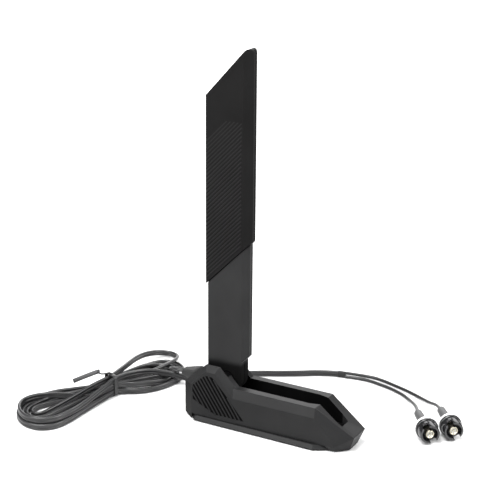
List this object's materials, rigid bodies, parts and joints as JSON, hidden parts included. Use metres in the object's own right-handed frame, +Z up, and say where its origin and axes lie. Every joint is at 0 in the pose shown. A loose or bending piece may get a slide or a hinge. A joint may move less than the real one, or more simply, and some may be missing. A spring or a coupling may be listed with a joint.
{
  "type": "folding wi-fi antenna",
  "caption": "Flat upright wi-fi antenna blade that folds into the trough of a faceted weighted base, with a tied twin cord ending in two push-on plugs.",
  "frame": {"origin": "on the floor under the middle of the base", "axes": "+X along the base from its hinge end to its nose, +Y across it towards the side the leads lie on, +Z up along the open blade"},
  "size_m": [0.2274, 0.1533, 0.2056],
  "materials": {
    "housing_plastic": "satin moulded",
    "blade_plastic": "satin moulded",
    "cover_plastic": "satin moulded, finely ribbed",
    "rubber": "matt",
    "steel": "plain",
    "zinc": "die-cast",
    "magnet_nickel": "nickel plated",
    "board_green": "solder mask",
    "copper": "etched foil",
    "cord_jacket": "smooth soft vinyl",
    "sleeve_rubber": "matt",
    "ring_white": "satin",
    "plug_plastic": "gloss",
    "contact_metal": "pale gold plated",
    "insulator_white": "plain",
    "tie_plastic": "plastic-coated wire"
  },
  "bodies": {
    "base": {"base_housing": "housing_plastic", "base_plate": "housing_plastic", "base_pad": "rubber", "base_screw_1": "steel", "base_screw_2": "steel", "base_screw_3": "steel", "base_screw_4": "steel", "ballast_plate": "steel", "magnet_rear": "magnet_nickel", "magnet_front": "magnet_nickel", "cable_boot": "rubber", "cable_clamp": "steel", "base_coax_a": "cord_jacket", "base_coax_b": "cord_jacket", "hinge_bracket": "zinc", "hinge_pin": "steel", "friction_washer_near": "steel", "friction_washer_far": "steel", "cord_run_out": "cord_jacket", "cord_hank": "cord_jacket", "twist_tie": "tie_plastic", "cord_run_back": "cord_jacket", "cord_split": "rubber", "lead_a": "cord_jacket", "lead_b": "cord_jacket", "plug_a_sleeve": "sleeve_rubber", "plug_a_ring": "ring_white", "plug_a_shell": "plug_plastic", "plug_a_contact": "contact_metal", "plug_a_insulator": "insulator_white", "plug_a_pin": "contact_metal", "plug_b_sleeve": "sleeve_rubber", "plug_b_ring": "ring_white", "plug_b_shell": "plug_plastic", "plug_b_contact": "contact_metal", "plug_b_insulator": "insulator_white", "plug_b_pin": "contact_metal"},
    "blade": {"hinge_hub": "zinc", "stem_shell_near": "blade_plastic", "stem_shell_far": "blade_plastic", "blade_cover_near": "cover_plastic", "blade_cover_far": "cover_plastic", "radiator_board": "board_green", "radiator_low_band": "copper", "radiator_high_band": "copper", "blade_coax_a": "cord_jacket", "blade_coax_b": "cord_jacket"}
  },
  "joints": [
    {"name": "blade_fold", "type": "hinge", "parent": "base", "child": "blade", "pos_m": [-0.027, 0, 0.025], "axis": [0, 1, 0], "range_deg": [0, 90]}
  ]
}
